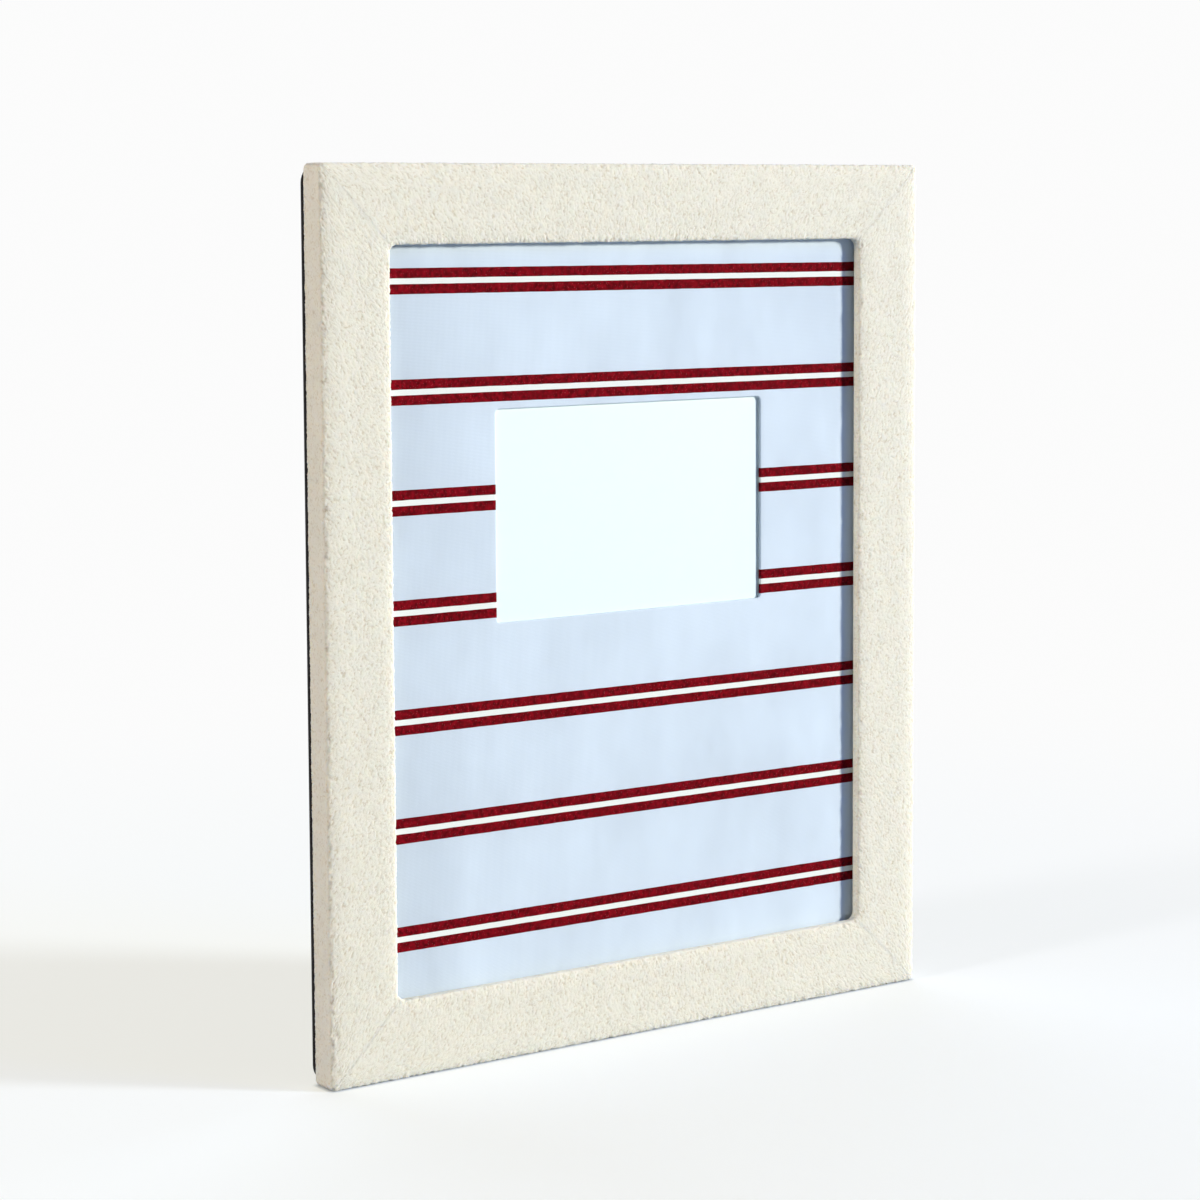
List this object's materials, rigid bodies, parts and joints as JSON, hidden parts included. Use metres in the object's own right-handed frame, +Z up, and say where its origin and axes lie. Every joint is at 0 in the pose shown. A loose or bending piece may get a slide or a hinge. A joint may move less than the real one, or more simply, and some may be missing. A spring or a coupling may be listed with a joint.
{
  "type": "picture frame",
  "caption": "Upright photo frame wrapped in short cream pile cloth, with a striped cloth mat, clear glazing, a backing held by turn buttons, and a fold-out strut.",
  "frame": {"origin": "middle of the frame's flat bottom edge, halfway through its depth, on the surface that it stands on", "axes": "+X to the right seen from the front, +Y from the front to the back, +Z up"},
  "size_m": [0.32, 0.1233, 0.3885],
  "materials": {
    "pile_cloth": "short curly pile cloth, cream",
    "fibreboard": "bare medium-density fibreboard",
    "clear_acrylic": "clear, polished sheet",
    "striped_cotton": "plain-woven cotton, pale blue with burgundy and white stripes",
    "white_board": "white mat board",
    "print_paper": "blank semi-gloss photo paper",
    "grey_board": "grey bookbinder's board",
    "black_board": "fibreboard faced with black flocked paper",
    "nickel_steel": "nickel-plated stamped steel",
    "black_ribbon": "black satin ribbon"
  },
  "bodies": {
    "frame": {"pile_cover": "pile_cloth", "rail_top": "fibreboard", "rail_bottom": "fibreboard", "rail_left": "fibreboard", "rail_right": "fibreboard", "corner_nail_bottom_left_1": "nickel_steel", "corner_nail_bottom_left_2": "nickel_steel", "corner_nail_bottom_right_1": "nickel_steel", "corner_nail_bottom_right_2": "nickel_steel", "corner_nail_top_left_1": "nickel_steel", "corner_nail_top_left_2": "nickel_steel", "corner_nail_top_right_1": "nickel_steel", "corner_nail_top_right_2": "nickel_steel", "back_trim": "black_board", "glazing_sheet": "clear_acrylic", "mat_cloth": "striped_cotton", "mat_board": "white_board", "photo_print": "print_paper", "filler_board": "grey_board", "backing_board": "black_board", "button_screw_bottom_left": "nickel_steel", "button_screw_bottom_right": "nickel_steel", "button_screw_right_lower": "nickel_steel", "button_screw_right_upper": "nickel_steel", "button_screw_top_left": "nickel_steel", "button_screw_top_right": "nickel_steel", "button_screw_left_lower": "nickel_steel", "button_screw_left_upper": "nickel_steel", "lower_hinge_fixed_leaf": "nickel_steel", "lower_hinge_pin": "nickel_steel", "lower_hinge_fixed_rivet_1": "nickel_steel", "lower_hinge_fixed_rivet_2": "nickel_steel", "upper_hinge_fixed_leaf": "nickel_steel", "upper_hinge_pin": "nickel_steel", "upper_hinge_fixed_rivet_1": "nickel_steel", "upper_hinge_fixed_rivet_2": "nickel_steel", "ribbon_stay": "black_ribbon", "ribbon_rivet_backing": "nickel_steel", "sawtooth_hanger": "nickel_steel", "hanger_nail_left": "nickel_steel", "hanger_nail_right": "nickel_steel"},
    "strut": {"strut_board": "black_board", "lower_hinge_strut_leaf": "nickel_steel", "lower_hinge_strut_rivet_1": "nickel_steel", "lower_hinge_strut_rivet_2": "nickel_steel", "upper_hinge_strut_leaf": "nickel_steel", "upper_hinge_strut_rivet_1": "nickel_steel", "upper_hinge_strut_rivet_2": "nickel_steel", "ribbon_rivet_strut": "nickel_steel"},
    "button_bottom_left": {"turn_button_bottom_left": "nickel_steel"},
    "button_bottom_right": {"turn_button_bottom_right": "nickel_steel"},
    "button_right_lower": {"turn_button_right_lower": "nickel_steel"},
    "button_right_upper": {"turn_button_right_upper": "nickel_steel"},
    "button_top_left": {"turn_button_top_left": "nickel_steel"},
    "button_top_right": {"turn_button_top_right": "nickel_steel"},
    "button_left_lower": {"turn_button_left_lower": "nickel_steel"},
    "button_left_upper": {"turn_button_left_upper": "nickel_steel"}
  },
  "joints": [
    {"name": "strut_fold", "type": "hinge", "parent": "frame", "child": "strut", "pos_m": [0, 0.0106, 0.1323], "axis": [0, 0, 1], "range_deg": [-90, 0], "deforming": ["ribbon_stay"]},
    {"name": "button_turn_bottom_left", "type": "hinge", "parent": "frame", "child": "button_bottom_left", "pos_m": [-0.075, 0.0095, 0.0187], "axis": [0, 1, 0], "continuous": true},
    {"name": "button_turn_bottom_right", "type": "hinge", "parent": "frame", "child": "button_bottom_right", "pos_m": [0.075, 0.0095, 0.0187], "axis": [0, 1, 0], "continuous": true},
    {"name": "button_turn_right_lower", "type": "hinge", "parent": "frame", "child": "button_right_lower", "pos_m": [0.1413, 0.0095, 0.09925], "axis": [0, 1, 0], "continuous": true},
    {"name": "button_turn_right_upper", "type": "hinge", "parent": "frame", "child": "button_right_upper", "pos_m": [0.1413, 0.0095, 0.28925], "axis": [0, 1, 0], "continuous": true},
    {"name": "button_turn_top_left", "type": "hinge", "parent": "frame", "child": "button_top_left", "pos_m": [-0.075, 0.0095, 0.3698], "axis": [0, 1, 0], "continuous": true},
    {"name": "button_turn_top_right", "type": "hinge", "parent": "frame", "child": "button_top_right", "pos_m": [0.075, 0.0095, 0.3698], "axis": [0, 1, 0], "continuous": true},
    {"name": "button_turn_left_lower", "type": "hinge", "parent": "frame", "child": "button_left_lower", "pos_m": [-0.1413, 0.0095, 0.09925], "axis": [0, 1, 0], "continuous": true},
    {"name": "button_turn_left_upper", "type": "hinge", "parent": "frame", "child": "button_left_upper", "pos_m": [-0.1413, 0.0095, 0.28925], "axis": [0, 1, 0], "continuous": true}
  ]
}
